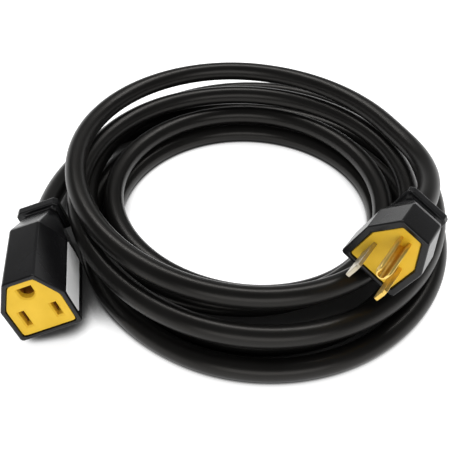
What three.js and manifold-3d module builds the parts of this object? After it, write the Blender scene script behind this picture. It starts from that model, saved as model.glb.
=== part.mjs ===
// A shore power extension cord: a grounded three-slot connector and a grounded
// three-blade plug on one round jacketed cord, laid down in a loose four-layer coil.
// Millimetres, +Z up. The origin is on the floor under the middle of the box
// that holds the two moulded ends.
import * as THREE from "three";
import { mergeVertices } from "three/addons/utils/BufferGeometryUtils.js";
import Module from "manifold-3d";

const wasm = await Module();
wasm.setup();

// ---- sizes -----------------------------------------------------------------
const FIT = 0.3; // clearance between pieces that seat on each other

// jacketed cord
const CORD_D = 9.3;
const CORD_R = CORD_D / 2;
const CORD_SIDES = 12; // sides of a free stretch
const COIL_SIDES = 6; // sides of a coiled loop
const LOOP_STEPS = 24; // rings in one loop
const FLAT = CORD_D / 10; // how far the lowest loops press flat on the floor
const LAYER_LIFT = 9.8; // centre to centre of two stacked layers
const LEAST_GAP = 0.3;
const FLOOR_REACH = 600; // side of the slab that trims the cord flat on the floor

// moulded body, the same section at both ends: a block with its top corners cut back
const BODY_HALF = 12.9; // half width
const BODY_BOTTOM = -10.1; // below the blade line
const BODY_SHOULDER = 7.3; // where the cut-back starts
const BODY_TOP_HALF = 6.2; // half width of the narrow top
const BODY_TOP = 19.6;
const BODY_ROUND = 1.3; // rounding of the long edges
const FACE_EDGE = 0.7; // rounding of the front edge
const INSERT_RECESS = 0.7; // how far the face insert sits behind the rim

// neck and grip flange, the same at both ends
const NECK = { half: 7.6, bottom: -2.8, shoulder: 7.2, topHalf: 6.0, top: 9.7, round: 1.0 };
const FLANGE = { half: 9.7, bottom: -3.6, shoulder: 10.2, topHalf: 8.0, top: 11.8, round: 0.75 };
const FLANGE_THICK = 4.8;
const FLANGE_EDGE = 0.8;
const NECK_LENGTH = 0.8; // foot of the flange
const CORD_LINE = 3.7; // height of the cord's axis above the blade line

// lengths from the front rim backwards
const CONNECTOR_BODY = 34.6;
const CONNECTOR_TAPER = 20.1;
const PLUG_BODY = 14.3;
const PLUG_TAPER = 15.8;

// blade pattern
const BLADE_SPACING = 12.7; // hot to neutral
const GROUND_RISE = 11.9; // ground above the blade line
const BLADE_THICK = 1.5;
const HOT_WIDTH = 6.35;
const NEUTRAL_WIDTH = 7.9;
const BLADE_LENGTH = 18; // out of the face insert
const BLADE_CHAMFER = 1.1;
const GROUND_WIDTH = 4.75;
const GROUND_LENGTH = 20.6;
const GROUND_WALL = 1.1;
const GROUND_NOSE = 2.4; // tapered nose of the ground pin
const PIN_ARC = 8; // steps round its lower half
const TAIL_WIDTH = 3.6; // blade tail and contact tail behind the face
const TAIL_LENGTH = 4.5;

// connector face insert and contacts
const CONNECTOR_RIM = 1.8;
const SOCKET_INSERT = 20; // thickness of the insert
const SOCKET_PLATE = 3; // front plate, in front of the contact cavities
const SLOT_WIDTH = 2.2;
const HOT_SLOT = 7;
const NEUTRAL_SLOT = 8;
const GROUND_HOLE = 5.6;
const SLOT_LEAD_IN = 0.6; // chamfer round each opening
const CONTACT_METAL = 0.8;
const CONTACT_GRIP = 1.7; // gap between the two leaves
const GROUND_GRIP = 5.2; // inside width of the ground contact
const CONTACT_LENGTH = 12;

// plug face insert
const PLUG_RIM_SIDE = 2.8;
const PLUG_RIM_END = 2.1;
const PLUG_INSERT = 3.2;

// room behind the inserts, narrowing to the bore, and the conductors in it
const ROOM_END = { half: 6.2, bottom: -2, shoulder: 6.5, topHalf: 4.6, top: 10.4, round: 0.8 };
const ROOM_TO_JACKET = 4; // from the room to the jacket's end in the bore
const CONDUCTOR_R = 1.4;
const CONDUCTOR_RING = 2.1; // radius on which the conductors leave the jacket
const JACKET_IN = 10; // jacket inside the moulding

// bare label on the connector's right side
const LABEL_FRONT = 1.6;
const LABEL_LENGTH = 31;
const LABEL_LOW = -5.6;
const LABEL_HIGH = 6;
const LABEL_THICK = 0.4;
const LABEL_PROUD = 0.1;

// ---- places ----------------------------------------------------------------
// Each end: position of the middle of its blade line on the rim's front plane,
// the compass turn of its face from -Y, its upward pitch and its roll.
const COIL_AT = new THREE.Vector2(14.07, 42.84);
const CONNECTOR_AT = new THREE.Vector3(-67.93, -24.38, 16.2);
const CONNECTOR_TURN = 10.33;
const CONNECTOR_PITCH = 5.88;
const CONNECTOR_ROLL = 14.42;
const PLUG_AT = new THREE.Vector3(60.02, -17.21, 38.9);
const PLUG_TURN = -33.4;
const PLUG_PITCH = 5.7;
const PLUG_ROLL = -25.7;

// The coil: turn count from its start, loop centre x and y from COIL_AT, radius.
const COIL_START_DEG = 150;
const COIL_START_TURN = 0.07;
const COIL_END_TURN = 6.36;
const SPIRAL = [
  [0.0, -1, 0, 96.0], [0.1, -0.5, 0.5, 94.6], [0.2, 0, 1, 91.0], [0.45, 2, 0, 84.0],
  [0.68, 2, -1, 84.0], [0.85, 2, 1.5, 75.2], [1.0, 0.5, 3.4, 79.6], [1.2, 0, 4, 77.8],
  [1.45, 0, 4, 74.6], [1.66, 0, 3, 77.4], [1.84, 0, 4, 65.8], [2.05, -1, 8, 64.6],
  [2.2, -1, 8, 63.3], [2.42, -1, 9, 63.0], [2.68, -2, 10, 60.8], [2.95, -2, 12, 62.8],
  [3.4, -2.5, 12, 62.8], [3.6, -2, 12, 71.8], [3.92, -2, 11, 73.4], [4.12, -2, 12, 87.0],
  [4.22, -1, 13, 90.0], [4.4, -1, 10, 86.5], [4.66, -1, 10, 88.4], [4.84, -1, 9, 77.2],
  [4.98, -1, 9, 78.0], [5.2, 1, 6.5, 70.6], [5.6, 1.5, 5, 70.5], [5.92, -1.3, 10, 77.8],
  [6.06, -1.3, 10, 82.6], [6.3, -1.3, 10, 70.6], [6.46, -1.3, 10, 76.4],
];
const SPIRAL_EASE = 0.1; // turns over which the changes are eased
const EASE_SAMPLES = 5;
// Where each climb to the next layer is centred, and half its length, in turns.
const CLIMBS = [[2.66, 0.22], [4.75, 0.2], [5.76, 0.2]];
const COIL_STRAIGHT = CORD_D; // straight bit at each end of the coil
const LEAD_STRAIGHT = CORD_D / 3; // the same at the lead's side of the joint
const LEAD_POINTS = 24; // steps of the bend
const LEAD_STEP = 3; // spacing of a lead's rings
// How strongly each lead holds its direction at its end and at the coil, and how
// far in front of the end's rear its bend begins.
const CONNECTOR_LEAD = { atEnd: 24, atCoil: 32, early: 7.3 };
const PLUG_LEAD = { atEnd: 20, atCoil: 20, early: 0 };

// ---- materials ---------------------------------------------------------------
const material = (color, roughness, metalness = 0) =>
  new THREE.MeshStandardMaterial({ color, roughness, metalness });
const BLACK = material(0x1b1b1d, 0.5);
const JACKET = material(0x19191b, 0.38);
const YELLOW = material(0xe6b325, 0.45);
const BRASS = material(0xb98a3a, 0.3, 1);
const NICKEL = material(0xc9c7c2, 0.28, 1);
const WHITE = material(0xe9e9ea, 0.55);
const CORE_BLACK = material(0x101010, 0.5);
const CORE_WHITE = material(0xf0f0ee, 0.5);
const CORE_GREEN = material(0x1f7a3c, 0.5);

// ---- solids ------------------------------------------------------------------
function solid(geometry) {
  const plain = new THREE.BufferGeometry();
  const source = geometry.index ? geometry.toNonIndexed() : geometry;
  plain.setAttribute("position", source.getAttribute("position"));
  const merged = mergeVertices(plain, 1e-4);
  return new wasm.Manifold(
    new wasm.Mesh({
      numProp: 3,
      vertProperties: merged.attributes.position.array,
      triVerts: new Uint32Array(merged.index.array),
    }),
  );
}

function geometryOf(made) {
  const mesh = made.getMesh();
  return new THREE.BufferGeometry()
    .setAttribute("position", new THREE.BufferAttribute(mesh.vertProperties, 3))
    .setIndex(new THREE.BufferAttribute(mesh.triVerts, 1));
}

function piece(name, geometry, look, parent) {
  const mesh = new THREE.Mesh(geometry, look);
  mesh.name = name;
  parent.add(mesh);
  return mesh;
}

// A closed body over equal-length closed outlines, each {z, points}, in rising z.
function loft(sections) {
  const count = sections[0].points.length;
  const position = sections.flatMap(({ z, points }) => points.flatMap((p) => [p.x, p.y, z]));
  const index = [];
  for (let s = 0; s + 1 < sections.length; s++)
    for (let i = 0; i < count; i++) {
      const a = s * count + i, b = s * count + ((i + 1) % count);
      index.push(a, b, b + count, a, b + count, a + count);
    }
  const last = (sections.length - 1) * count;
  for (const [a, b, c] of THREE.ShapeUtils.triangulateShape(sections[0].points, []))
    index.push(a, c, b);
  for (const [a, b, c] of THREE.ShapeUtils.triangulateShape(sections.at(-1).points, []))
    index.push(last + a, last + b, last + c);
  return new THREE.BufferGeometry()
    .setAttribute("position", new THREE.Float32BufferAttribute(position, 3))
    .setIndex(index);
}

// A closed body over rings of points in space, with a fan over each end.
function skin(rings) {
  const count = rings[0].length;
  const position = rings.flatMap((ring) => ring.flatMap((p) => [p.x, p.y, p.z]));
  const index = [];
  for (let s = 0; s + 1 < rings.length; s++)
    for (let i = 0; i < count; i++) {
      const a = s * count + i, b = s * count + ((i + 1) % count);
      index.push(a, b, b + count, a, b + count, a + count);
    }
  const last = (rings.length - 1) * count;
  for (let i = 1; i + 1 < count; i++) {
    index.push(0, i + 1, i);
    index.push(last, last + i, last + i + 1);
  }
  return new THREE.BufferGeometry()
    .setAttribute("position", new THREE.Float32BufferAttribute(position, 3))
    .setIndex(index);
}

// Corners of an outline, each rounded with three points, counterclockwise.
function rounded(corners, round) {
  return corners.flatMap((corner, i) => {
    const before = corners.at(i - 1), after = corners[(i + 1) % corners.length];
    const a = corner.clone().add(before.clone().sub(corner).setLength(round));
    const b = corner.clone().add(after.clone().sub(corner).setLength(round));
    const mid = a.clone().add(b).multiplyScalar(0.25).add(corner.clone().multiplyScalar(0.5));
    return [a, mid, b];
  });
}

// The six-cornered outline of the ends: side and end insets are measured square
// to its upright, slanted and level edges.
function outline(size, side = 0, end = 0, round = size.round) {
  const half = size.half - side, bottom = size.bottom + end, top = size.top - end;
  const slant = new THREE.Vector2(size.topHalf - size.half, size.top - size.shoulder).normalize();
  const out = new THREE.Vector2(slant.y, -slant.x);
  const onSlant = new THREE.Vector2(size.half, size.shoulder).addScaledVector(out, -side);
  const shoulder = onSlant.y + ((half - onSlant.x) * slant.y) / slant.x;
  const topHalf = onSlant.x + ((top - onSlant.y) * slant.x) / slant.y;
  return rounded(
    [[-half, bottom], [half, bottom], [half, shoulder], [topHalf, top], [-topHalf, top],
      [-half, shoulder]].map(([x, y]) => new THREE.Vector2(x, y)),
    round,
  );
}
const BODY = {
  half: BODY_HALF, bottom: BODY_BOTTOM, shoulder: BODY_SHOULDER,
  topHalf: BODY_TOP_HALF, top: BODY_TOP, round: BODY_ROUND,
};

// A straight prism over an outline between two depths behind the rim's plane.
const prism = (points, front, rear) =>
  loft([{ z: -rear, points }, { z: -front, points }]);
const box2 = (x, y, halfX, halfY) =>
  [[-1, -1], [1, -1], [1, 1], [-1, 1]].map(
    ([i, j]) => new THREE.Vector2(x + i * halfX, y + j * halfY),
  );
const circle2 = (x, y, radius, sides) =>
  Array.from({ length: sides }, (_, i) => {
    const turn = (i / sides) * 2 * Math.PI;
    return new THREE.Vector2(x + radius * Math.cos(turn), y + radius * Math.sin(turn));
  });

// The moulded body with its neck and flange; bodyEnd and taper set its length.
function moulding(bodyEnd, taper) {
  const neck = bodyEnd + taper, flange = neck + NECK_LENGTH, rear = flange + FLANGE_THICK;
  return {
    rear,
    shape: solid(loft([
      { z: -rear, points: outline(FLANGE, FLANGE_EDGE, FLANGE_EDGE) },
      { z: -rear + FLANGE_EDGE, points: outline(FLANGE) },
      { z: -flange - FLANGE_EDGE, points: outline(FLANGE) },
      { z: -flange, points: outline(FLANGE, FLANGE_EDGE, FLANGE_EDGE) },
      { z: -flange + FLANGE_EDGE / 2, points: outline(NECK) },
      { z: -neck, points: outline(NECK) },
      { z: -bodyEnd, points: outline(BODY) },
      { z: -FACE_EDGE, points: outline(BODY) },
      { z: 0, points: outline(BODY, FACE_EDGE, FACE_EDGE) },
    ])),
  };
}

// Bore for the jacketed cord along the lead's own line, from a depth in front of
// it to BORE_PAST behind the rear.
const BORE_SIDES = 20;
const BORE_R = (CORD_R + FIT) / Math.cos(Math.PI / BORE_SIDES);
const BORE_PAST = CORD_R;
const BORE_STEP = 3;
function bore(end, line, front, rear) {
  const inside = line.map((p) => end.worldToLocal(p.clone()))
    .filter((p) => p.z < -front && p.z > -rear - BORE_PAST);
  const run = new THREE.CatmullRomCurve3([new THREE.Vector3(0, CORD_LINE, -front), ...inside]);
  const section = new THREE.Shape(circle2(0, 0, BORE_R, BORE_SIDES));
  return solid(new THREE.ExtrudeGeometry(section, {
    steps: Math.round(run.getLength() / BORE_STEP), extrudePath: run,
  }));
}

// The pocket for the face insert and the room behind it, narrowing to its own end.
const hollow = (side, end, wide, narrow) => solid(loft([
  { z: -narrow, points: outline(ROOM_END) },
  { z: -wide, points: outline(BODY, side, end) },
  { z: FIT, points: outline(BODY, side, end) },
]));

// ---- cord path ---------------------------------------------------------------
const ease = (t) => {
  const s = THREE.MathUtils.clamp(t, 0, 1);
  return s * s * (3 - 2 * s);
};
function spiralRow(turn) {
  const at = THREE.MathUtils.clamp(turn, SPIRAL[0][0], SPIRAL.at(-1)[0]);
  const k = Math.max(1, SPIRAL.findIndex(([t]) => t >= at));
  const [before, after] = [SPIRAL[k - 1], SPIRAL[k]];
  const t = (at - before[0]) / (after[0] - before[0]);
  return before.map((v, i) => v + (after[i] - v) * t);
}
function coilPoint(turn) {
  const mean = [0, 0, 0];
  const samples = 2 * EASE_SAMPLES + 1;
  for (let i = -EASE_SAMPLES; i <= EASE_SAMPLES; i++) {
    const row = spiralRow(turn + (SPIRAL_EASE * i) / EASE_SAMPLES);
    mean.forEach((_, j) => (mean[j] += row[j + 1] / samples));
  }
  const angle = THREE.MathUtils.degToRad(COIL_START_DEG) - turn * 2 * Math.PI;
  const layer = CLIMBS.reduce((n, [at, half]) => n + ease((turn - at + half) / (2 * half)), 0);
  return new THREE.Vector3(
    COIL_AT.x + mean[0] + mean[2] * Math.cos(angle),
    COIL_AT.y + mean[1] + mean[2] * Math.sin(angle),
    CORD_R - FLAT + layer * LAYER_LIFT,
  );
}

// A ring of the cord's section, square to the path, with a corner straight down.
const UP = new THREE.Vector3(0, 0, 1);
function ringAt(point, direction) {
  const side = UP.clone().cross(direction).normalize();
  const up = direction.clone().cross(side);
  return Array.from({ length: COIL_SIDES }, (_, i) => {
    const turn = (i / COIL_SIDES) * 2 * Math.PI;
    return point.clone()
      .addScaledVector(side, CORD_R * Math.sin(turn))
      .addScaledVector(up, -CORD_R * Math.cos(turn));
  });
}

const floorCut = (shape, reach) => shape.subtract(solid(
  new THREE.BoxGeometry(reach, reach, CORD_D).translate(0, 0, -CORD_R)));

// The least distance between the surfaces of two loops, on the path's points.
function leastGap(points) {
  const apart = LOOP_STEPS / 2;
  let least = Infinity;
  points.forEach((p, i) => {
    for (let j = i + apart; j < points.length; j++)
      least = Math.min(least, p.distanceTo(points[j]) - CORD_D);
  });
  return least;
}

const END_SLOPE = 1e-3; // turns over which an end's direction is measured
const coilTurns = COIL_END_TURN - COIL_START_TURN;
const steps = Math.round(coilTurns * LOOP_STEPS);
const path = Array.from({ length: steps + 1 },
  (_, i) => coilPoint(COIL_START_TURN + (coilTurns * i) / steps));
const startWay = coilPoint(COIL_START_TURN + END_SLOPE).sub(path[0]).normalize();
const endWay = coilPoint(COIL_END_TURN).sub(coilPoint(COIL_END_TURN - END_SLOPE)).normalize();
// Both ends run straight on for one diameter, square to the leads that they meet.
const coilPath = [
  path[0].clone().addScaledVector(startWay, -COIL_STRAIGHT),
  ...path,
  path.at(-1).clone().addScaledVector(endWay, COIL_STRAIGHT),
];
const least = leastGap(coilPath);
console.log("least gap of the coil to itself, mm:", least.toFixed(2));
if (least < LEAST_GAP) console.log("the coil lies closer than", LEAST_GAP);

const cord = new THREE.Group();
const coilRings = coilPath.map((p, i) => {
  const way = i === 0 || i === 1 ? startWay
    : i >= coilPath.length - 2 ? endWay
      : coilPath[i + 1].clone().sub(coilPath[i - 1]).normalize();
  return ringAt(p, way);
});
piece("cord_coil", geometryOf(floorCut(solid(skin(coilRings)), FLOOR_REACH)), JACKET, cord);

// ---- leads ---------------------------------------------------------------------
// Points of a lead from inside an end to one end of the coil: straight in the
// moulding, then one bend that meets the coil squarely.
function leadLine(end, rear, coilEnd, coilWay, { atEnd, atCoil, early }) {
  const inside = (depth) => end.localToWorld(new THREE.Vector3(0, CORD_LINE, -depth));
  const from = inside(rear - early);
  const way = inside(rear).sub(inside(0)).normalize();
  const meet = coilEnd.clone().addScaledVector(coilWay, FIT);
  const straight = meet.clone().addScaledVector(coilWay, LEAD_STRAIGHT);
  const bend = new THREE.CubicBezierCurve3(
    from, from.clone().addScaledVector(way, atEnd),
    straight.clone().addScaledVector(coilWay, atCoil), straight);
  const jacketEnd = rear - JACKET_IN;
  return [inside(jacketEnd), inside(rear - (JACKET_IN + early) / 2),
    ...bend.getPoints(LEAD_POINTS), meet];
}
function lead(name, line) {
  const run = new THREE.CatmullRomCurve3(line);
  const section = new THREE.Shape(circle2(0, 0, CORD_R, CORD_SIDES));
  const tube = new THREE.ExtrudeGeometry(section, {
    steps: Math.round(run.getLength() / LEAD_STEP), extrudePath: run,
  });
  piece(name, geometryOf(floorCut(solid(tube), FLOOR_REACH)), JACKET, cord);
  return run.getLength();
}

// ---- the two ends --------------------------------------------------------------
const leadLengths = [];
function standing(at, turn, pitch, roll) {
  const place = new THREE.Group(), tilt = new THREE.Group(), end = new THREE.Group();
  place.position.copy(at);
  place.rotation.z = THREE.MathUtils.degToRad(turn);
  tilt.rotation.x = THREE.MathUtils.degToRad(90 - pitch);
  end.rotation.z = THREE.MathUtils.degToRad(roll);
  cord.add(place.add(tilt.add(end)));
  cord.updateMatrixWorld(true);
  return end;
}
const connector = standing(CONNECTOR_AT, CONNECTOR_TURN, CONNECTOR_PITCH, CONNECTOR_ROLL);
const plug = standing(PLUG_AT, PLUG_TURN, PLUG_PITCH, PLUG_ROLL);

// A conductor from its terminal to its place in the jacket's end, inside an end.
function conductor(name, look, parent, from, to) {
  const ahead = new THREE.Vector3(0, 0, CONDUCTOR_R);
  const run = new THREE.CatmullRomCurve3([
    from, from.clone().sub(ahead), to.clone().add(ahead), to,
  ]);
  const section = new THREE.Shape(circle2(0, 0, CONDUCTOR_R, 8));
  piece(name, new THREE.ExtrudeGeometry(section, { steps: 8, extrudePath: run }), look, parent);
}
// Where each conductor lies in the jacket: hot right, neutral left, ground on top.
const inJacket = (degrees, depth) => {
  const turn = THREE.MathUtils.degToRad(degrees);
  return new THREE.Vector3(
    CONDUCTOR_RING * Math.cos(turn), CORD_LINE + CONDUCTOR_RING * Math.sin(turn), -depth);
};
const HOT_DEG = -30, NEUTRAL_DEG = 210, GROUND_DEG = 90;
const halfSpacing = BLADE_SPACING / 2;

// Connector: moulded body, face insert, three contacts, three conductors, label.
{
  const { shape, rear } = moulding(CONNECTOR_BODY, CONNECTOR_TAPER);
  const insertRear = INSERT_RECESS + SOCKET_INSERT;
  const tailRear = insertRear + TAIL_LENGTH;
  const jacketEnd = rear - JACKET_IN;
  const roomRear = jacketEnd - ROOM_TO_JACKET;
  const line = leadLine(connector, rear, coilPath[0], startWay.clone().negate(), CONNECTOR_LEAD);
  const pocket = hollow(CONNECTOR_RIM, CONNECTOR_RIM, tailRear, roomRear);
  const labelDepth = LABEL_THICK + FIT - LABEL_PROUD;
  const labelMid = (LABEL_LOW + LABEL_HIGH) / 2, labelHalf = (LABEL_HIGH - LABEL_LOW) / 2;
  const labelRear = LABEL_FRONT + LABEL_LENGTH;
  const labelSeat = solid(prism(
    box2(BODY_HALF, labelMid, labelDepth, labelHalf + FIT), LABEL_FRONT - FIT, labelRear + FIT));
  piece("connector_housing",
    geometryOf(shape.subtract(pocket).subtract(bore(connector, line, roomRear - FIT, rear))
      .subtract(labelSeat)),
    BLACK, connector);
  piece("connector_label",
    prism(box2(BODY_HALF + LABEL_PROUD - LABEL_THICK / 2, labelMid, LABEL_THICK / 2, labelHalf),
      LABEL_FRONT, labelRear),
    WHITE, connector);

  // Face insert, with a chamfered opening over each contact cavity.
  const opening = (x, y, halfX, halfY) => solid(loft([
    { z: -INSERT_RECESS - SOCKET_PLATE - FIT, points: box2(x, y, halfX, halfY) },
    { z: -INSERT_RECESS - SLOT_LEAD_IN, points: box2(x, y, halfX, halfY) },
    { z: -INSERT_RECESS + FIT,
      points: box2(x, y, halfX + SLOT_LEAD_IN + FIT, halfY + SLOT_LEAD_IN + FIT) },
  ]));
  const cavity = (x, y, halfX, halfY) => solid(prism(
    box2(x, y, halfX, halfY), INSERT_RECESS + SOCKET_PLATE, insertRear + FIT));
  const leafHalf = CONTACT_GRIP / 2 + CONTACT_METAL;
  const groundHalf = GROUND_GRIP / 2 + CONTACT_METAL;
  // The ground hole: square above, round below.
  const groundPoints = (grow) => {
    const r = GROUND_HOLE / 2 + grow;
    const below = circle2(0, GROUND_RISE, r, 16).filter((p) => p.y <= GROUND_RISE + FIT);
    below.sort((p, q) => p.x - q.x);
    return [...below, new THREE.Vector2(r, GROUND_RISE + r), new THREE.Vector2(-r, GROUND_RISE + r)];
  };
  const groundOpening = solid(loft([
    { z: -INSERT_RECESS - SOCKET_PLATE - FIT, points: groundPoints(0) },
    { z: -INSERT_RECESS - SLOT_LEAD_IN, points: groundPoints(0) },
    { z: -INSERT_RECESS + FIT, points: groundPoints(SLOT_LEAD_IN + FIT) },
  ]));
  let face = solid(prism(
    outline(BODY, CONNECTOR_RIM + FIT, CONNECTOR_RIM + FIT), INSERT_RECESS, insertRear));
  for (const [x, slot] of [[halfSpacing, HOT_SLOT], [-halfSpacing, NEUTRAL_SLOT]])
    face = face.subtract(opening(x, 0, SLOT_WIDTH / 2, slot / 2))
      .subtract(cavity(x, 0, leafHalf + FIT, slot / 2 + FIT));
  face = face.subtract(groundOpening)
    .subtract(cavity(0, GROUND_RISE, groundHalf + FIT, groundHalf + FIT));
  piece("connector_face", geometryOf(face), YELLOW, connector);

  // Contacts: two leaves joined at the back for each blade, a channel for the ground.
  const contactFront = INSERT_RECESS + SOCKET_PLATE + FIT;
  const contactRear = contactFront + CONTACT_LENGTH;
  const tail = (x, y) => solid(prism(
    box2(x, y, CONTACT_METAL / 2, TAIL_WIDTH / 2), contactRear - CONTACT_METAL / 2, tailRear));
  const leaves = (x, slot) => {
    const leafMid = CONTACT_GRIP / 2 + CONTACT_METAL / 2;
    const leaf = (side) => solid(prism(
      box2(x + side * leafMid, 0, CONTACT_METAL / 2, slot / 2), contactFront, contactRear));
    const back = solid(prism(
      box2(x, 0, leafHalf, slot / 2), contactRear - CONTACT_METAL, contactRear));
    return leaf(1).add(leaf(-1)).add(back).add(tail(x, 0));
  };
  piece("connector_hot_contact", geometryOf(leaves(halfSpacing, HOT_SLOT)), BRASS, connector);
  piece("connector_neutral_contact",
    geometryOf(leaves(-halfSpacing, NEUTRAL_SLOT)), NICKEL, connector);
  const sleeve = (half, front, rearEnd) => solid(prism(
    box2(0, GROUND_RISE, half, half), front, rearEnd));
  piece("connector_ground_contact",
    geometryOf(sleeve(groundHalf, contactFront, contactRear)
      .subtract(sleeve(GROUND_GRIP / 2, contactFront - FIT, contactRear - CONTACT_METAL))
      .add(tail(0, GROUND_RISE))),
    BRASS, connector);

  const from = (x, y) => new THREE.Vector3(x, y, -tailRear - FIT);
  const to = (degrees) => inJacket(degrees, jacketEnd - FIT);
  conductor("connector_hot_conductor", CORE_BLACK, connector, from(halfSpacing, 0), to(HOT_DEG));
  conductor("connector_neutral_conductor", CORE_WHITE, connector,
    from(-halfSpacing, 0), to(NEUTRAL_DEG));
  conductor("connector_ground_conductor", CORE_GREEN, connector,
    from(0, GROUND_RISE), to(GROUND_DEG));
  leadLengths.push(lead("cord_connector_lead", line));
}

// Plug: moulded body, face insert, two blades, ground pin, three conductors.
{
  const { shape, rear } = moulding(PLUG_BODY, PLUG_TAPER);
  const insertRear = INSERT_RECESS + PLUG_INSERT;
  const tailRear = insertRear + TAIL_LENGTH;
  const jacketEnd = rear - JACKET_IN;
  const roomRear = jacketEnd - ROOM_TO_JACKET;
  const line = leadLine(plug, rear, coilPath.at(-1), endWay, PLUG_LEAD);
  const pocket = hollow(PLUG_RIM_SIDE, PLUG_RIM_END, tailRear, roomRear);
  piece("plug_housing",
    geometryOf(shape.subtract(pocket).subtract(bore(plug, line, roomRear - FIT, rear))),
    BLACK, plug);

  // A flat blade in its own plane: tail behind the face, chamfered tip in front.
  const blade = (x, width) => {
    const half = width / 2, tip = BLADE_LENGTH - INSERT_RECESS;
    const side = [
      [-TAIL_WIDTH / 2, -tailRear], [TAIL_WIDTH / 2, -tailRear], [TAIL_WIDTH / 2, -insertRear],
      [half, -insertRear], [half, tip - BLADE_CHAMFER], [half - BLADE_CHAMFER, tip],
      [BLADE_CHAMFER - half, tip], [-half, tip - BLADE_CHAMFER], [-half, -insertRear],
      [-TAIL_WIDTH / 2, -insertRear],
    ].map(([y, z]) => new THREE.Vector2(y, z));
    return new THREE.ExtrudeGeometry(new THREE.Shape(side), { depth: BLADE_THICK, bevelEnabled: false })
      .translate(0, 0, -BLADE_THICK / 2)
      .applyMatrix4(new THREE.Matrix4().makeBasis(
        new THREE.Vector3(0, 1, 0), new THREE.Vector3(0, 0, 1), new THREE.Vector3(1, 0, 0)))
      .translate(x, 0, 0);
  };
  piece("plug_hot_blade", blade(halfSpacing, HOT_WIDTH), BRASS, plug);
  piece("plug_neutral_blade", blade(-halfSpacing, NEUTRAL_WIDTH), NICKEL, plug);

  // The ground pin is sheet folded to a channel, round below and open above.
  const channel = (shrink) => {
    const out = GROUND_WIDTH / 2 - shrink, inner = GROUND_WIDTH / 2 - GROUND_WALL;
    const arc = (r) => Array.from({ length: PIN_ARC + 1 }, (_, i) => {
      const turn = Math.PI + (i / PIN_ARC) * Math.PI;
      return new THREE.Vector2(r * Math.cos(turn), GROUND_RISE + r * Math.sin(turn));
    });
    const lift = GROUND_WIDTH / 2 - shrink;
    return [...arc(out), new THREE.Vector2(out, GROUND_RISE + lift),
      new THREE.Vector2(inner, GROUND_RISE + lift), ...arc(inner).reverse(),
      new THREE.Vector2(-inner, GROUND_RISE + lift), new THREE.Vector2(-out, GROUND_RISE + lift)];
  };
  const pinTip = GROUND_LENGTH - INSERT_RECESS;
  piece("plug_ground_pin", loft([
    { z: -tailRear, points: channel(0) },
    { z: pinTip - GROUND_NOSE, points: channel(0) },
    { z: pinTip, points: channel(GROUND_WALL * 0.6) },
  ]), BRASS, plug);

  // Face insert, with a close opening round each blade.
  const through = (points) => solid(prism(points, INSERT_RECESS - FIT, insertRear + FIT));
  let face = solid(prism(
    outline(BODY, PLUG_RIM_SIDE + FIT, PLUG_RIM_END + FIT), INSERT_RECESS, insertRear));
  for (const [x, width] of [[halfSpacing, HOT_WIDTH], [-halfSpacing, NEUTRAL_WIDTH]])
    face = face.subtract(through(box2(x, 0, BLADE_THICK / 2 + FIT, width / 2 + FIT)));
  face = face.subtract(through(
    box2(0, GROUND_RISE, GROUND_WIDTH / 2 + FIT, GROUND_WIDTH / 2 + FIT)));
  piece("plug_face", geometryOf(face), YELLOW, plug);

  const from = (x, y) => new THREE.Vector3(x, y, -tailRear - FIT);
  const to = (degrees) => inJacket(degrees, jacketEnd - FIT);
  conductor("plug_hot_conductor", CORE_BLACK, plug, from(halfSpacing, 0), to(HOT_DEG));
  conductor("plug_neutral_conductor", CORE_WHITE, plug, from(-halfSpacing, 0), to(NEUTRAL_DEG));
  conductor("plug_ground_conductor", CORE_GREEN, plug, from(0, GROUND_RISE), to(GROUND_DEG));
  leadLengths.push(lead("cord_plug_lead", line));
}

const coilLength = coilPath.slice(1).reduce((n, p, i) => n + p.distanceTo(coilPath[i]), 0);
console.log("cord length, mm:", Math.round(coilLength), leadLengths.map(Math.round));

export default cord;
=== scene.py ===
# A shore power cord: a moulded connector and plug with yellow faces, on one
# round black cord that lies in a loose coil on a pale floor.
import math

import bmesh
import bpy
import numpy as np
from mathutils import Matrix, Vector


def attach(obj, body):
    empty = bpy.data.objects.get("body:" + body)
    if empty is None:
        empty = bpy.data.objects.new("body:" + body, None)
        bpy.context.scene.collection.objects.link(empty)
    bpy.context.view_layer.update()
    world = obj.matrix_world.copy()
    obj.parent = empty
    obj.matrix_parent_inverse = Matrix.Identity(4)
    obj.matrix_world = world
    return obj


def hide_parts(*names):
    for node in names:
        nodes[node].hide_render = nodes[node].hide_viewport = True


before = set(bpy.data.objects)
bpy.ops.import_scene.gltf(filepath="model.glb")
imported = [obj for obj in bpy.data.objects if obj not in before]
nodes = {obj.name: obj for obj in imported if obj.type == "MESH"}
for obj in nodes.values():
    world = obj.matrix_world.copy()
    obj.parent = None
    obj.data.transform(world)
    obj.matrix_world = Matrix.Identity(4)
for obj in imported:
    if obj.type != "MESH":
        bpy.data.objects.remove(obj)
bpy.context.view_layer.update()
MM = 0.001

# ---- sizes and places, in millimetres, as in the part's source -----------------------
FIT = 0.3  # clearance between pieces that seat on each other

# lengths of the moulded ends, from the front rim backwards
CONNECTOR_BODY, CONNECTOR_TAPER = 34.6, 20.1
PLUG_BODY, PLUG_TAPER = 14.3, 15.8
NECK_LENGTH, FLANGE_THICK = 0.8, 4.8
CONNECTOR_REAR = CONNECTOR_BODY + CONNECTOR_TAPER + NECK_LENGTH + FLANGE_THICK
PLUG_REAR = PLUG_BODY + PLUG_TAPER + NECK_LENGTH + FLANGE_THICK
CORD_LINE = 3.7  # height of the cord's axis above the blade line
JACKET_IN = 10.0  # jacket inside the moulding

# blade pattern
HALF_SPACING = 6.35  # half of hot to neutral
GROUND_RISE = 11.9  # ground above the blade line
HOT_WIDTH, NEUTRAL_WIDTH = 6.35, 7.9
INSERT_RECESS = 0.7  # how far the face insert sits behind the rim

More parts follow.
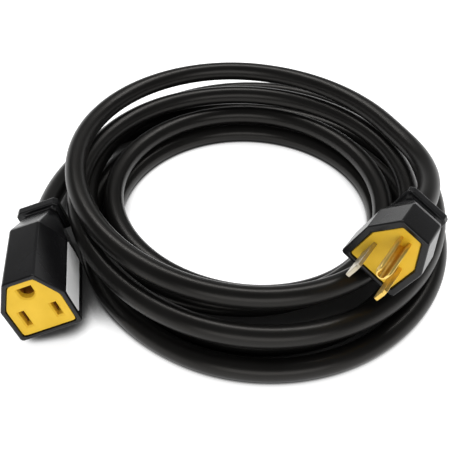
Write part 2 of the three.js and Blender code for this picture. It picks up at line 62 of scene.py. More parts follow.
# where each end's blade line is, and how the end is turned, pitched up and rolled
CONNECTOR_AT = (-67.93, -24.38, 16.2)
CONNECTOR_TURN, CONNECTOR_PITCH, CONNECTOR_ROLL = 10.33, 5.88, 14.42
PLUG_AT = (60.02, -17.21, 38.9)
PLUG_TURN, PLUG_PITCH, PLUG_ROLL = -33.4, 5.7, -25.7

# the cord, and its coil: turn count from its start, loop centre x and y, radius
CORD_D = 9.3
CORD_R = CORD_D / 2
FLAT = CORD_D / 10  # how far the lowest loops press flat on the floor
LAYER_LIFT = 9.8  # centre to centre of two stacked layers
COIL_AT = np.array([14.07, 42.84])
COIL_START_DEG = 150.0
COIL_START_TURN, COIL_END_TURN = 0.07, 6.36
SPIRAL = np.array([
    [0.0, -1, 0, 96.0], [0.1, -0.5, 0.5, 94.6], [0.2, 0, 1, 91.0], [0.45, 2, 0, 84.0],
    [0.68, 2, -1, 84.0], [0.85, 2, 1.5, 75.2], [1.0, 0.5, 3.4, 79.6], [1.2, 0, 4, 77.8],
    [1.45, 0, 4, 74.6], [1.66, 0, 3, 77.4], [1.84, 0, 4, 65.8], [2.05, -1, 8, 64.6],
    [2.2, -1, 8, 63.3], [2.42, -1, 9, 63.0], [2.68, -2, 10, 60.8], [2.95, -2, 12, 62.8],
    [3.4, -2.5, 12, 62.8], [3.6, -2, 12, 71.8], [3.92, -2, 11, 73.4], [4.12, -2, 12, 87.0],
    [4.22, -1, 13, 90.0], [4.4, -1, 10, 86.5], [4.66, -1, 10, 88.4], [4.84, -1, 9, 77.2],
    [4.98, -1, 9, 78.0], [5.2, 1, 6.5, 70.6], [5.6, 1.5, 5, 70.5], [5.92, -1.3, 10, 77.8],
    [6.06, -1.3, 10, 82.6], [6.3, -1.3, 10, 70.6], [6.46, -1.3, 10, 76.4]])
SPIRAL_EASE = 0.1  # turns over which the changes are eased
EASE_SAMPLES = 5
# Where each climb to the next layer is centred, and half its length, in turns.
CLIMBS = ((2.66, 0.22), (4.75, 0.2), (5.76, 0.2))
COIL_STRAIGHT = CORD_D  # straight run at each end of the coil
LEAD_STRAIGHT = CORD_D / 3  # and at the end of the lead that meets it
# How hard a lead holds its way out of the end and into the coil, and how far in front
# of the moulding's rear its bend starts.
CONNECTOR_LEAD = {"at_end": 24.0, "at_coil": 32.0, "early": 7.3}
PLUG_LEAD = {"at_end": 20.0, "at_coil": 20.0, "early": 0.0}

# ---- sizes, in millimetres, of the finer pieces made here -------------------------------
# Sections of the mouldings: half widths, heights above the blade line, corner rounding.
# They are the source's, but for slightly rounder corners on neck and flange.
BODY = {"half": 12.9, "bottom": -10.1, "shoulder": 7.3, "top_half": 6.2, "top": 19.6, "round": 1.3}
NECK = {"half": 7.6, "bottom": -2.8, "shoulder": 7.2, "top_half": 6.0, "top": 9.7, "round": 1.1}
FLANGE = {"half": 9.7, "bottom": -3.6, "shoulder": 10.2, "top_half": 8.0, "top": 11.8, "round": 0.8}
CORNER_POINTS = 7  # points on each corner's arc
EDGE = 0.7  # rounding of the rim's outer edge and of the flange's two edges
EDGE_RINGS = 5  # rings in a rounded edge
# The rim's inner edge, rounded off: how much wider the pocket is, and at what depth.
INNER_EDGE = ((0.0, 0.5), (0.15, 0.15), (0.5, 0.0))
STRAIGHT_FROM, STRAIGHT_TO = 1.2, 2.1  # rings that keep the sides flat, from front and rear
BEND_LONG, BEND_DEEP = 1.5, 0.36  # the soft bend from the body's sides to the taper
STRIP = 0.15  # narrow strip at each edge of the bend
BEND_START = 0.02  # how far the sides have dropped one strip into the bend
HOLD = 0.8  # rings this far from each end of the taper
TAPER_SHARES = (0.3, 0.6)  # and at these shares of its length
FLANGE_BEHIND = 0.1  # the flange's front face, behind its place in the source
FLANGE_HOLD = 0.75  # ring this far in front of the flange's rear

CONNECTOR_FORM = {"body": CONNECTOR_BODY, "taper": CONNECTOR_TAPER, "rim": (1.8, 1.8),
                  "pocket": 8.0, "grip": FLANGE, "grip_thick": FLANGE_THICK}
# The plug's taper and flange are shorter than in the source, and its flange is lower.
PLUG_SHORTER = 1.8
PLUG_FORM = {"body": PLUG_BODY, "taper": PLUG_TAPER - PLUG_SHORTER, "rim": (2.8, 2.1),
             "pocket": 3.0, "grip": dict(FLANGE, top=11.4), "grip_thick": 4.2}

PLUG_FACE = {"inset": (3.0, 2.3), "round": 1.0, "thick": 3.2, "edge": 0.35}
LABEL = {"rise": 0.2, "behind_rim": 1.6, "half_wide": 5.8, "half_long": 15.5, "round": 0.8,
         "thick": 0.4, "proud": 0.1, "edge": 0.08}
LABEL_CORNER_POINTS = 4
# A blade's tip and tail are measured from the rim, and its tip is short of the source's.
BLADE = {"tip": 15.0, "cut": 1.1, "thick": 1.5, "edge": 0.22, "tail": 8.4, "tail_half": 1.8,
         "shoulder": 3.9}
PLATE_EDGE_STEPS = 3
PIN_R, PIN_WALL = 2.375, 1.1  # outer radius of the ground pin, and its sheet
PIN_LIP = 0.2  # corner cut off the top of its walls
PIN_ARC_POINTS = 13
# Rings of the ground pin: depth behind the rim, and how much its section has shrunk.
PIN_RINGS = ((8.4, 0.0), (-17.4, 0.0), (-18.4, 0.12), (-19.0, 0.34), (-19.3, 0.6))

COIL_STEPS, LEAD_STEPS = 900, 49
ROUTE_STEP = 2.6  # from one ring of the cord to the next
ROUTE_SOFTENINGS = 4
CORD_SIDES = 28
CORES = 3
CORE_WAVE = 0.004  # how far each core lifts the jacket, as a share of its radius
CORE_STEP = 90  # length along which each core winds on to the next one's place
FLOOR_GAP = 0.02  # least height of the cord's surface above the floor

SHARP_DEG = 40  # edges that turn by more than this stay sharp
MERGE = 1e-6  # points nearer than this, in metres, become one
FACE_WEIGHT = 50  # how far the larger faces win when normals are weighted


# ---- camera -----------------------------------------------------------------------------
PICTURE_PIXELS, FOCAL_PIXELS = 450.0, 620.0
SENSOR = 36.0
CAMERA_AT = (0.00257, -0.17286, 0.205)  # metres
CAMERA_DOWN_DEG = 43.5
CAMERA_NEAR = 0.01

camera_data = bpy.data.cameras.new("camera")
camera_data.sensor_width = SENSOR
camera_data.lens = SENSOR * FOCAL_PIXELS / PICTURE_PIXELS
camera_data.clip_start = CAMERA_NEAR
camera = bpy.data.objects.new("camera", camera_data)
camera.location = CAMERA_AT
camera.rotation_euler = (math.radians(90 - CAMERA_DOWN_DEG), 0, 0)
bpy.context.scene.collection.objects.link(camera)
bpy.context.scene.camera = camera


# ---- places of the two ends -------------------------------------------------------------
def placed(at, turn, pitch, roll):
    """The matrix of an end: face turned from -Y, pitched up, rolled, then moved."""
    return (Matrix.Translation(at) @ Matrix.Rotation(math.radians(turn), 4, "Z")
            @ Matrix.Rotation(math.radians(90 - pitch), 4, "X")
            @ Matrix.Rotation(math.radians(roll), 4, "Z"))


CONNECTOR = placed(CONNECTOR_AT, CONNECTOR_TURN, CONNECTOR_PITCH, CONNECTOR_ROLL)
PLUG = placed(PLUG_AT, PLUG_TURN, PLUG_PITCH, PLUG_ROLL)


def carried(points, matrix):
    """Points in an end's own millimetres, carried to the object's frame in metres."""
    matrix = np.array(matrix)
    return (np.asarray(points, float) @ matrix[:3, :3].T + matrix[:3, 3]) * MM


# ---- materials ----------------------------------------------------------------------------
CLOUD_DETAIL, GRAIN_DETAIL = 4, 3
TONE_FROM, TONE_TO = 0.3, 0.72  # where in the cloud the dark tone ends and the light begins
ROUGH_SPREAD = 0.08
GRAIN_STRENGTH = 0.35


def noise(tree, place, scale, detail):
    """A cloud of the given scale and detail, read at a place."""
    made = tree.nodes.new("ShaderNodeTexNoise")
    made.inputs["Scale"].default_value = scale
    made.inputs["Detail"].default_value = detail
    tree.links.new(place, made.inputs["Vector"])
    return made.outputs["Fac"]


def finish_of(name, dark, light, roughness, metallic=0.0, specular=0.5, grain=900.0,
              grain_depth=0.03, cloud=60.0, gloss_tint=(1.0, 1.0, 1.0)):
    """A moulded or metal finish: a cloud of two close tones, the same cloud in its
    roughness and a fine grain in its bump, all on Object coordinates."""
    made = bpy.data.materials.new(name)
    made.use_nodes = True
    tree = made.node_tree
    shader = tree.nodes["Principled BSDF"]
    new, link = tree.nodes.new, tree.links.new
    place = new("ShaderNodeTexCoord").outputs["Object"]
    clouds = noise(tree, place, cloud, CLOUD_DETAIL)
    tone = new("ShaderNodeValToRGB")
    for stop, position, colour in zip(tone.color_ramp.elements, (TONE_FROM, TONE_TO), (dark, light)):
        stop.position = position
        stop.color = (*colour, 1)
    link(clouds, tone.inputs["Fac"])
    link(tone.outputs["Color"], shader.inputs["Base Color"])
    spread = new("ShaderNodeMapRange")
    spread.inputs["To Min"].default_value = roughness - ROUGH_SPREAD / 2
    spread.inputs["To Max"].default_value = roughness + ROUGH_SPREAD / 2
    link(clouds, spread.inputs["Value"])
    link(spread.outputs["Result"], shader.inputs["Roughness"])
    bump = new("ShaderNodeBump")
    bump.inputs["Strength"].default_value = GRAIN_STRENGTH
    bump.inputs["Distance"].default_value = grain_depth * MM
    link(noise(tree, place, grain, GRAIN_DETAIL), bump.inputs["Height"])
    link(bump.outputs["Normal"], shader.inputs["Normal"])
    shader.inputs["Metallic"].default_value = metallic
    shader.inputs["Specular IOR Level"].default_value = specular
    shader.inputs["Specular Tint"].default_value = (*gloss_tint, 1)
    return made


MOULDED_BLACK = finish_of("moulded_black", (0.0036, 0.0036, 0.0040), (0.0066, 0.0066, 0.0072),
                          0.27, specular=0.30, grain=1500, grain_depth=0.008, cloud=45)
JACKET_BLACK = finish_of("cord_jacket", (0.0030, 0.0029, 0.0028), (0.0060, 0.0058, 0.0056),
                         0.32, specular=0.25, grain=700, grain_depth=0.012, cloud=35,
                         gloss_tint=(1.0, 0.96, 0.91))
FACE_YELLOW = finish_of("face_yellow", (0.76, 0.47, 0.026), (0.84, 0.535, 0.042),
                        0.46, specular=0.3, grain=1600, grain_depth=0.012, cloud=110)
BRASS = finish_of("blade_brass", (0.70, 0.47, 0.11), (0.85, 0.62, 0.19),
                  0.4, metallic=1.0, grain=2600, grain_depth=0.006, cloud=200)
NICKEL = finish_of("blade_nickel", (0.44, 0.39, 0.28), (0.60, 0.55, 0.45),
                   0.36, metallic=1.0, grain=2600, grain_depth=0.006, cloud=200)
SPRING_BRONZE = finish_of("spring_bronze", (0.20, 0.075, 0.010), (0.30, 0.12, 0.018),
                          0.7, specular=0.1, cloud=200)
LABEL_WHITE = finish_of("label_white", (0.80, 0.80, 0.795), (0.86, 0.86, 0.855),
                        0.5, specular=0.3, grain=1200, grain_depth=0.006, cloud=90)
CORE_BLACK = finish_of("core_black", (0.01, 0.01, 0.01), (0.016, 0.016, 0.016), 0.5)
CORE_WHITE = finish_of("core_white", (0.74, 0.74, 0.71), (0.8, 0.8, 0.77), 0.5)
CORE_GREEN = finish_of("core_green", (0.012, 0.16, 0.045), (0.02, 0.2, 0.06), 0.5)


# ---- surfaces -----------------------------------------------------------------------------
def mesh_piece(name, points, faces, material, replaced):
    """A smooth mesh in the object's frame from an array of points in metres and a list
    of faces, in place of the nodes that it replaces."""
    mesh = bpy.data.meshes.new(name)
    mesh.from_pydata(np.asarray(points, float).tolist(), [], faces)
    mesh.validate()
    mesh.materials.append(material)
    mesh.polygons.foreach_set("use_smooth", np.ones(len(mesh.polygons), bool))
    mesh.update()
    made = bpy.data.objects.new(name, mesh)
    bpy.context.scene.collection.objects.link(made)
    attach(made, "root")
    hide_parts(*replaced)
    return made


def tidied(piece):
    """The piece with its doubles merged, its faces turned outwards, and smooth but for
    its sharp edges."""
    bm = bmesh.new()
    bm.from_mesh(piece.data)
    bmesh.ops.remove_doubles(bm, verts=bm.verts, dist=MERGE)
    bmesh.ops.recalc_face_normals(bm, faces=bm.faces)
    bm.to_mesh(piece.data)
    bm.free()
    piece.data.shade_smooth()
    piece.data.set_sharp_from_angle(angle=math.radians(SHARP_DEG))
    return piece


def crisp(piece):
    """Normals weighted by face area, so that flat sides stay flat up to their edges."""
    weigh = piece.modifiers.new("flat_sides", "WEIGHTED_NORMAL")
    weigh.mode = "FACE_AREA"
    weigh.weight = FACE_WEIGHT
    weigh.keep_sharp = True


def closed_loft(rings, flip=False):
    """Points and faces of a body through rings of equal length: quads between each ring
    and the next, whose columns close on themselves, and a flat cap on the first and the
    last ring. flip turns every face over."""
    rings = np.asarray(rings, float)
    rows, columns = rings.shape[:2]
    row, column = np.meshgrid(np.arange(rows - 1), np.arange(columns), indexing="ij")
    here = row * columns + column
    beside = row * columns + (column + 1) % columns
    quads = np.stack([here, beside, beside + columns, here + columns], -1).reshape(-1, 4)
    first = np.arange(columns)
    caps = (first[::-1], first + (rows - 1) * columns)
    step = -1 if flip else 1
    faces = quads[:, ::step].tolist() + [cap[::step].tolist() for cap in caps]
    return rings.reshape(-1, 3), faces


def outline(size, inset=0.0, end=None, round_by=None):
    """The six-cornered outline of the mouldings, drawn in by an inset, and by end at its
    top and bottom. Its corners are turned on circular arcs: each is tangent to both
    edges and is cut into equal angles."""
    half, bottom, shoulder, top_half, top = (size[k] for k in
                                             ("half", "bottom", "shoulder", "top_half", "top"))
    end = inset if end is None else end
    slant = np.array([top_half - half, top - shoulder], float)
    slant /= np.linalg.norm(slant)
    on = np.array([half, shoulder]) - inset * np.array([slant[1], -slant[0]])
    new_half, new_bottom, new_top = half - inset, bottom + end, top - end
    new_shoulder = on[1] + (new_half - on[0]) * slant[1] / slant[0]
    new_top_half = on[0] + (new_top - on[1]) * slant[0] / slant[1]
    corners = np.array([[-new_half, new_bottom], [new_half, new_bottom],
                        [new_half, new_shoulder], [new_top_half, new_top],
                        [-new_top_half, new_top], [-new_half, new_shoulder]])
    radius = size["round"] if round_by is None else round_by
    points = []
    for i, corner in enumerate(corners):
        to_before = corners[i - 1] - corner
        to_after = corners[(i + 1) % len(corners)] - corner
        to_before /= np.linalg.norm(to_before)
        to_after /= np.linalg.norm(to_after)
        half_angle = math.acos(np.clip(to_before @ to_after, -1, 1)) / 2
        middle = to_before + to_after
        middle /= np.linalg.norm(middle)
        centre = corner + middle * radius / math.sin(half_angle)
        swing = np.linspace(-1, 1, CORNER_POINTS) * (math.pi / 2 - half_angle)
        across = np.array([-middle[1], middle[0]])
        sign = 1 if across @ to_after > 0 else -1
        points.append(centre - radius * np.cos(swing)[:, None] * middle
                      + sign * radius * np.sin(swing)[:, None] * across)
    return np.concatenate(points)


def at_depth(points, depth):
    """A flat outline set at a depth behind the rim's plane."""
    return np.column_stack([points, np.full(len(points), -depth)])


# ---- moulded ends -------------------------------------------------------------------------
def rounded_edge(size, depth, into):
    """Rings of a rounded edge: the inset shrinks as 1 - sin while the depth moves by
    1 - cos, over a quarter turn. into is 1 where the body lies behind the depth, and -1
    where it lies in front."""
    return [at_depth(outline(size, EDGE * (1 - math.sin(t))), depth + into * EDGE * (1 - math.cos(t)))
            for t in np.linspace(0, math.pi / 2, EDGE_RINGS)]


def moulding(name, matrix, form, replaced):
    """A moulded end, as rings from the pocket's floor round the rim and along the body
    and taper to the grip flange's rear. Along the taper every measure of the outline
    falls in a straight line with depth, and so does the drop at the soft bend."""
    side, end = form["rim"]
    body, taper, grip = form["body"], form["taper"], form["grip"]
    flange = body + taper + NECK_LENGTH
    rear = flange + form["grip_thick"]
    bend = body - BEND_LONG
    rings = [at_depth(outline(BODY, side, end), form["pocket"])]
    rings += [at_depth(outline(BODY, side - wider, end - wider), depth) for wider, depth in INNER_EDGE]
    rings += rounded_edge(BODY, 0.0, 1)
    rings += [at_depth(outline(BODY), depth)
              for depth in (STRAIGHT_FROM, body / 2, body - STRAIGHT_TO, bend)]
    rings.append(at_depth(outline(BODY, BEND_START), bend + STRIP))
    shares = [taper * share for share in TAPER_SHARES]
    for past in (0.0, STRIP, HOLD, *shares, taper - HOLD, taper):
        t = past / taper
        section = {k: BODY[k] + (NECK[k] - BODY[k]) * t for k in BODY}
        rings.append(at_depth(outline(section, BEND_DEEP * (1 - t)), body + past))
    rings.append(at_depth(outline(NECK), flange + FLANGE_BEHIND))
    rings += rounded_edge(grip, flange + FLANGE_BEHIND, 1)
    rings.append(at_depth(outline(grip), rear - FLANGE_HOLD))
    rings += rounded_edge(grip, rear, -1)[::-1]
    points, faces = closed_loft(rings, flip=True)
    crisp(mesh_piece(name, carried(points, matrix), faces, MOULDED_BLACK,
                     replaced))


moulding("connector_moulding", CONNECTOR, CONNECTOR_FORM, ["connector_housing"])
moulding("plug_moulding", PLUG, PLUG_FORM, ["plug_housing"])


# ---- flat pieces with rounded edges ---------------------------------------------------------
# Stands a plate on edge: its width goes up, its length forwards, its thickness across.
UPRIGHT = [[0, 1, 0], [0, 0, 1], [1, 0, 0]]


def plate(name, matrix, edge_line, middle, thick, edge, material, replaced, basis=None):
    """A flat plate: a closed outline, filled, given its thickness about its middle and
    rounded by edge all round. basis turns its plane before it is carried."""
    curve = bpy.data.curves.new(name, "CURVE")
    curve.dimensions = "2D"
    curve.fill_mode = "BOTH"
    curve.extrude = thick / 2 - edge
    curve.bevel_depth = edge
    curve.bevel_resolution = PLATE_EDGE_STEPS
    curve.offset = -edge
    spline = curve.splines.new("POLY")
    spline.points.add(len(edge_line) - 1)
    flat = np.zeros((len(edge_line), 4))
    flat[:, :2] = edge_line
    flat[:, 3] = 1
    spline.points.foreach_set("co", flat.ravel())
    spline.use_cyclic_u = True
    source = bpy.data.objects.new(name + "_curve", curve)
    bpy.context.scene.collection.objects.link(source)
    filled = bpy.data.meshes.new_from_object(source.evaluated_get(
        bpy.context.evaluated_depsgraph_get()))
    bpy.data.objects.remove(source)
    points = np.empty(len(filled.vertices) * 3)
    filled.vertices.foreach_get("co", points)
    points = points.reshape(-1, 3) + np.array([0, 0, middle])
    if basis is not None:
        points = points @ np.asarray(basis, float)
    faces = [list(polygon.vertices) for polygon in filled.polygons]
    crisp(tidied(mesh_piece(name, carried(points, matrix), faces, material, replaced)))


def box_outline(x, y, half_x, half_y, radius):
    """A rectangle whose four corners are quarter circles."""
    points = []
    for i, (sx, sy) in enumerate(((1, 1), (-1, 1), (-1, -1), (1, -1))):
        turn = math.pi / 2 * i + np.linspace(0, math.pi / 2, LABEL_CORNER_POINTS)
        points.append(np.column_stack([x + sx * (half_x - radius) + radius * np.cos(turn),
                                       y + sy * (half_y - radius) + radius * np.sin(turn)]))
    return np.concatenate(points)


def plug_face():
    """The plug's yellow insert, recessed behind the rim."""
    edge_line = outline(BODY, *PLUG_FACE["inset"], round_by=PLUG_FACE["round"])
    plate("plug_face_insert", PLUG, edge_line, -INSERT_RECESS - PLUG_FACE["thick"] / 2,
          PLUG_FACE["thick"], PLUG_FACE["edge"], FACE_YELLOW, ["plug_face"])


def side_label():
    """The bare label, a little proud of the connector's right side."""
    edge_line = box_outline(LABEL["rise"], -(LABEL["behind_rim"] + LABEL["half_long"]),
                            LABEL["half_wide"], LABEL["half_long"], LABEL["round"])
    plate("side_label", CONNECTOR, edge_line, BODY["half"] + LABEL["proud"] - LABEL["thick"] / 2,
          LABEL["thick"], LABEL["edge"], LABEL_WHITE, ["connector_label"],
          basis=UPRIGHT)


plug_face()
side_label()


# ---- blades and ground pin --------------------------------------------------------------------
def blade_outline(width):
    """A blade in its own plane: narrow tail, full blade, corners cut at the tip."""
    half, tail_half = width / 2, BLADE["tail_half"]
    tip, cut, tail, shoulder = (BLADE[k] for k in ("tip", "cut", "tail", "shoulder"))
    return np.array([[-tail_half, -tail], [tail_half, -tail], [tail_half, -shoulder],
                     [half, -shoulder], [half, tip - cut], [half - cut, tip],
                     [cut - half, tip], [-half, tip - cut], [-half, -shoulder],
                     [-tail_half, -shoulder]])


def blade(name, width, across, material, replaced):
    """A flat blade, at a distance across the blade line from its middle."""
    plate(name, PLUG, blade_outline(width), across, BLADE["thick"], BLADE["edge"],
          material, replaced, basis=UPRIGHT)


def channel(shrink):
    """The ground pin's section: sheet folded in a half circle below, with two straight
    walls above whose lips have their corners cut. shrink draws the outside in."""
    out, inner, cut = PIN_R - shrink, PIN_R - PIN_WALL, PIN_LIP
    turn = np.linspace(math.pi, 2 * math.pi, PIN_ARC_POINTS)
    lip = GROUND_RISE + out

    def fold(radius):
        return np.column_stack([radius * np.cos(turn), GROUND_RISE + radius * np.sin(turn)])

    return np.concatenate([
        fold(out), [[out, lip - cut], [out - cut, lip], [inner + cut, lip], [inner, lip - cut]],
        fold(inner)[::-1],
        [[-inner, lip - cut], [-inner - cut, lip], [-out + cut, lip], [-out, lip - cut]]])


def ground_pin():
    """The channel carried along the pin, drawn in over its last rings to a rounded nose."""
    points, faces = closed_loft([at_depth(channel(shrink), depth) for depth, shrink in PIN_RINGS])
    tidied(mesh_piece("ground_pin", carried(points, PLUG), faces, BRASS,
                      ["plug_ground_pin"]))


blade("hot_blade", HOT_WIDTH, HALF_SPACING, BRASS, ["plug_hot_blade"])
blade("neutral_blade", NEUTRAL_WIDTH, -HALF_SPACING, NICKEL,
      ["plug_neutral_blade"])
ground_pin()


# ---- cord ---------------------------------------------------------------------------------------
def unit(vector):
    return vector / np.linalg.norm(vector)


def inside(matrix, depth):
    """A point on the cord's axis, at a depth behind an end's rim, in millimetres."""
    return np.array(matrix @ Vector((0, CORD_LINE, -depth)))


def coil_points(turns):
    """The coil's path: an angle that falls steadily, a radius and loop centre eased
    between the rows of SPIRAL, and a smooth lift of one layer at each climb."""
    rows = np.mean([np.stack([np.interp(turns + SPIRAL_EASE * i / EASE_SAMPLES,
                                        SPIRAL[:, 0], SPIRAL[:, k]) for k in (1, 2, 3)], -1)
                    for i in range(-EASE_SAMPLES, EASE_SAMPLES + 1)], axis=0)
    angle = math.radians(COIL_START_DEG) - turns * 2 * math.pi
    layer = np.zeros_like(turns)
    for at, half in CLIMBS:
        t = np.clip((turns - at + half) / (2 * half), 0, 1)
        layer += t * t * (3 - 2 * t)
    return np.column_stack([COIL_AT[0] + rows[:, 0] + rows[:, 2] * np.cos(angle),
                            COIL_AT[1] + rows[:, 1] + rows[:, 2] * np.sin(angle),
                            CORD_R - FLAT + layer * LAYER_LIFT])


def lead(matrix, rear, coil_end, coil_way, hold):
    """A lead's path from the jacket's end to the coil: straight inside the moulding,
    one cubic bend from a little in front of its rear, straight into the coil."""
    leaves = inside(matrix, rear - hold["early"])
    out = unit(inside(matrix, rear) - inside(matrix, 0))
    lands = coil_end + coil_way * (FIT + LEAD_STRAIGHT)
    t = np.linspace(0, 1, LEAD_STEPS)[:, None]
    held_out, held_in = leaves + out * hold["at_end"], lands + coil_way * hold["at_coil"]
    bend = ((1 - t) ** 3 * leaves + 3 * (1 - t) ** 2 * t * held_out
            + 3 * (1 - t) * t ** 2 * held_in + t ** 3 * lands)
    return np.concatenate([[inside(matrix, rear - JACKET_IN)], bend])


def cord_route():
    """The whole path: the connector's lead, the coil and the plug's lead, the last laid
    from the coil outwards."""
    coil = coil_points(np.linspace(COIL_START_TURN, COIL_END_TURN, COIL_STEPS))
    start_way = unit(coil[1] - coil[0])
    end_way = unit(coil[-1] - coil[-2])
    coil_start = coil[0] - start_way * COIL_STRAIGHT
    coil_end = coil[-1] + end_way * COIL_STRAIGHT
    return np.concatenate([
        lead(CONNECTOR, CONNECTOR_REAR, coil_start, -start_way, CONNECTOR_LEAD), coil,
        lead(PLUG, PLUG_REAR, coil_end, end_way, PLUG_LEAD)[::-1]])


def evenly(points, step):
    """The path again, at equal steps of its length, with the length up to each step."""
    lengths = np.concatenate([[0], np.cumsum(np.linalg.norm(np.diff(points, axis=0), axis=1))])
    at = np.linspace(0, lengths[-1], int(lengths[-1] / step) + 1)
    return np.column_stack([np.interp(at, lengths, points[:, k]) for k in range(3)]), at


def softened(points, times):
    """Each inner point drawn towards the mean of its neighbours, ends kept."""
    for _ in range(times):
        points[1:-1] = 0.25 * points[:-2] + 0.5 * points[1:-1] + 0.25 * points[2:]
    return points


def jacket_rings(path, along):
    """A circle square to the path at each of its points. Its radius carries a very
    shallow wave with one crest a core, which winds along the cord, and it is pressed
    flat where it would reach the floor."""
    way = np.gradient(path, axis=0)
    way /= np.linalg.norm(way, axis=1)[:, None]
    side = np.cross(np.array([0, 0, 1.0]), way)
    side /= np.linalg.norm(side, axis=1)[:, None]
    over = np.cross(way, side)
    angle = np.linspace(0, 2 * math.pi, CORD_SIDES, endpoint=False)
    swell = 1 + CORE_WAVE * np.cos(CORES * angle[None, :]
                                   + along[:, None] * 2 * math.pi / CORE_STEP)
    ring = (side[:, None, :] * np.cos(angle)[None, :, None]
            + over[:, None, :] * np.sin(angle)[None, :, None]) * (CORD_R * swell)[:, :, None]
    rings = path[:, None, :] + ring
    rings[:, :, 2] = np.maximum(rings[:, :, 2], FLOOR_GAP)
    return rings


path, along = evenly(cord_route(), ROUTE_STEP)
path = softened(path, ROUTE_SOFTENINGS)
cord_points, cord_faces = closed_loft(jacket_rings(path, along), flip=True)
cord = tidied(mesh_piece("cord", cord_points * MM, cord_faces, JACKET_BLACK,
                         ["cord_coil", "cord_connector_lead", "cord_plug_lead"]))

# ---- finishes of the nodes that stay ------------------------------------------------------------
for node, finish in {
    "connector_face": FACE_YELLOW,
    "connector_hot_contact": SPRING_BRONZE, "connector_ground_contact": SPRING_BRONZE,
    "connector_neutral_contact": SPRING_BRONZE,
    "connector_hot_conductor": CORE_BLACK, "plug_hot_conductor": CORE_BLACK,
    "connector_neutral_conductor": CORE_WHITE, "plug_neutral_conductor": CORE_WHITE,
    "connector_ground_conductor": CORE_GREEN, "plug_ground_conductor": CORE_GREEN,
}.items():
    mesh = nodes[node].data
    mesh.materials.clear()
    mesh.materials.append(finish)


# ---- floor, light and surroundings ---------------------------------------------------------------
FLOOR_REACH = 6.0  # metres from the middle to each side
FLOOR_GLOW = 0.55
# The floor's colour where it is shut in between strands, a painted shade, and where it is open.
FLOOR_PAINTED_SHADE, FLOOR_OPEN = (0.10, 0.10, 0.10, 1), (0.82, 0.82, 0.82, 1)
SHUT_IN_DISTANCE, SHUT_IN_SAMPLES = 0.04, 32
SHUT_IN_BELOW, OPEN_ABOVE = 0.24, 0.56  # share of the sky that a point of the floor sees
MATT_LIGHT = 0.62  # of the surroundings, on matt surfaces
WALL_TOP, CEILING_FROM = 0.14, 0.36  # height of the direction, 1 straight up
WALL_LIGHT, CEILING_LIGHT = 1.0, 0.14
LAMP_AIM = (0.015, 0.03, 0.02)
LAMPS = (  # name, place, size and watts
    ("key", (0.05, 0.55, 0.95), (1.1, 0.2), 7.0),
    ("front_fill", (0.10, -1.0, 0.50), (1.2, 0.5), 5.4))


def seen_directly(tree):
    """1 for rays from the camera, from gloss or through glass, else 0."""
    light_path = tree.nodes.new("ShaderNodeLightPath")
    total = light_path.outputs["Is Camera Ray"]
    for name in ("Is Glossy Ray", "Is Transmission Ray"):
        add = tree.nodes.new("ShaderNodeMath")
        add.operation = "MAXIMUM"
        tree.links.new(total, add.inputs[0])
        tree.links.new(light_path.outputs[name], add.inputs[1])
        total = add.outputs[0]
    return total


def smooth_step(tree, value, low, high, at_low, at_high):
    """at_low where the value is below low, at_high above high, and smooth between."""
    step = tree.nodes.new("ShaderNodeMapRange")
    step.interpolation_type = "SMOOTHSTEP"
    for name, number in (("From Min", low), ("From Max", high),
                         ("To Min", at_low), ("To Max", at_high)):
        step.inputs[name].default_value = number
    tree.links.new(value, step.inputs["Value"])
    return step.outputs["Result"]


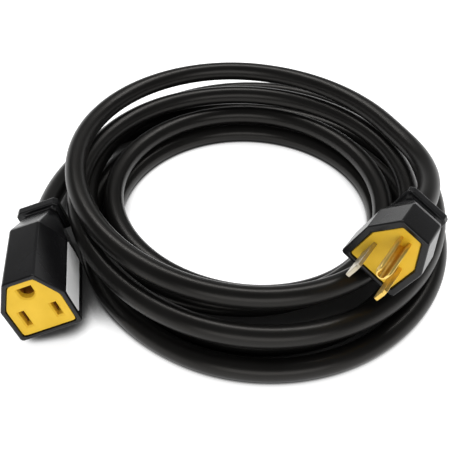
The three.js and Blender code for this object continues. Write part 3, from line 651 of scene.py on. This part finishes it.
def floor_material():
    """A pale matt floor that also glows by itself where it is seen directly. Both are
    darkened as painted shade where the floor is shut in between strands, so that the
    gaps stay dark."""
    made = bpy.data.materials.new("pale_floor")
    made.use_nodes = True
    tree = made.node_tree
    tree.nodes.clear()
    new, link = tree.nodes.new, tree.links.new
    shut_in = new("ShaderNodeAmbientOcclusion")
    shut_in.samples = SHUT_IN_SAMPLES
    shut_in.inputs["Distance"].default_value = SHUT_IN_DISTANCE
    # painted shade: 0 where the floor is shut in between strands, 1 where it is open
    painted_shade_factor = smooth_step(tree, shut_in.outputs["AO"], SHUT_IN_BELOW, OPEN_ABOVE, 0.0, 1.0)
    full_glow = new("ShaderNodeMath")
    full_glow.operation = "MULTIPLY"
    full_glow.inputs[1].default_value = FLOOR_GLOW
    link(seen_directly(tree), full_glow.inputs[0])
    # the glow, darkened by the painted shade where the floor is shut in
    shade_darkened_glow = new("ShaderNodeMath")
    shade_darkened_glow.operation = "MULTIPLY"
    link(full_glow.outputs[0], shade_darkened_glow.inputs[0])
    link(painted_shade_factor, shade_darkened_glow.inputs[1])
    glow = new("ShaderNodeEmission")
    glow.inputs["Color"].default_value = (1, 1, 1, 1)
    link(shade_darkened_glow.outputs[0], glow.inputs["Strength"])
    # the floor's colour, darkened as painted shade where it is shut in between strands
    pale = new("ShaderNodeMix")
    pale.data_type = "RGBA"
    pale.inputs["A"].default_value = FLOOR_PAINTED_SHADE
    pale.inputs["B"].default_value = FLOOR_OPEN
    link(painted_shade_factor, pale.inputs["Factor"])
    diffuse = new("ShaderNodeBsdfDiffuse")
    link(pale.outputs["Result"], diffuse.inputs["Color"])
    both = new("ShaderNodeAddShader")
    link(diffuse.outputs[0], both.inputs[0])
    link(glow.outputs[0], both.inputs[1])
    link(both.outputs[0], new("ShaderNodeOutputMaterial").inputs["Surface"])
    return made


def pale_floor():
    """One square at the height of the floor."""
    mesh = bpy.data.meshes.new("floor")
    mesh.from_pydata([(-FLOOR_REACH, -FLOOR_REACH, 0), (FLOOR_REACH, -FLOOR_REACH, 0),
                      (FLOOR_REACH, FLOOR_REACH, 0), (-FLOOR_REACH, FLOOR_REACH, 0)],
                     [], [(0, 1, 2, 3)])
    mesh.materials.append(floor_material())
    floor = bpy.data.objects.new("floor", mesh)
    bpy.context.scene.collection.objects.link(floor)


def studio():
    """The surroundings. Seen directly: white walls near the horizon under a dim ceiling.
    On matt surfaces: plain."""
    world = bpy.data.worlds.new("studio")
    bpy.context.scene.world = world
    world.use_nodes = True
    tree = world.node_tree
    new, link = tree.nodes.new, tree.links.new
    height = new("ShaderNodeSeparateXYZ")
    link(new("ShaderNodeTexCoord").outputs["Generated"], height.inputs[0])
    ceiling = smooth_step(tree, height.outputs["Z"], WALL_TOP, CEILING_FROM,
                          WALL_LIGHT, CEILING_LIGHT)
    ambient = new("ShaderNodeMapRange")
    ambient.inputs["To Min"].default_value = MATT_LIGHT
    link(seen_directly(tree), ambient.inputs["Value"])
    link(ceiling, ambient.inputs["To Max"])
    background = tree.nodes["Background"]
    background.inputs["Color"].default_value = (1, 1, 1, 1)
    link(ambient.outputs["Result"], background.inputs["Strength"])


def area_light(name, place, size, power):
    """A rectangular lamp at a place, turned to face the object."""
    data = bpy.data.lights.new(name, "AREA")
    data.shape = "RECTANGLE"
    data.size, data.size_y = size
    data.energy = power
    lamp = bpy.data.objects.new(name, data)
    lamp.location = place
    lamp.rotation_euler = (Vector(LAMP_AIM) - Vector(place)).to_track_quat("-Z", "Y").to_euler()
    bpy.context.scene.collection.objects.link(lamp)


pale_floor()
studio()
for lamp in LAMPS:
    area_light(*lamp)

bpy.context.scene.view_settings.view_transform = "Standard"
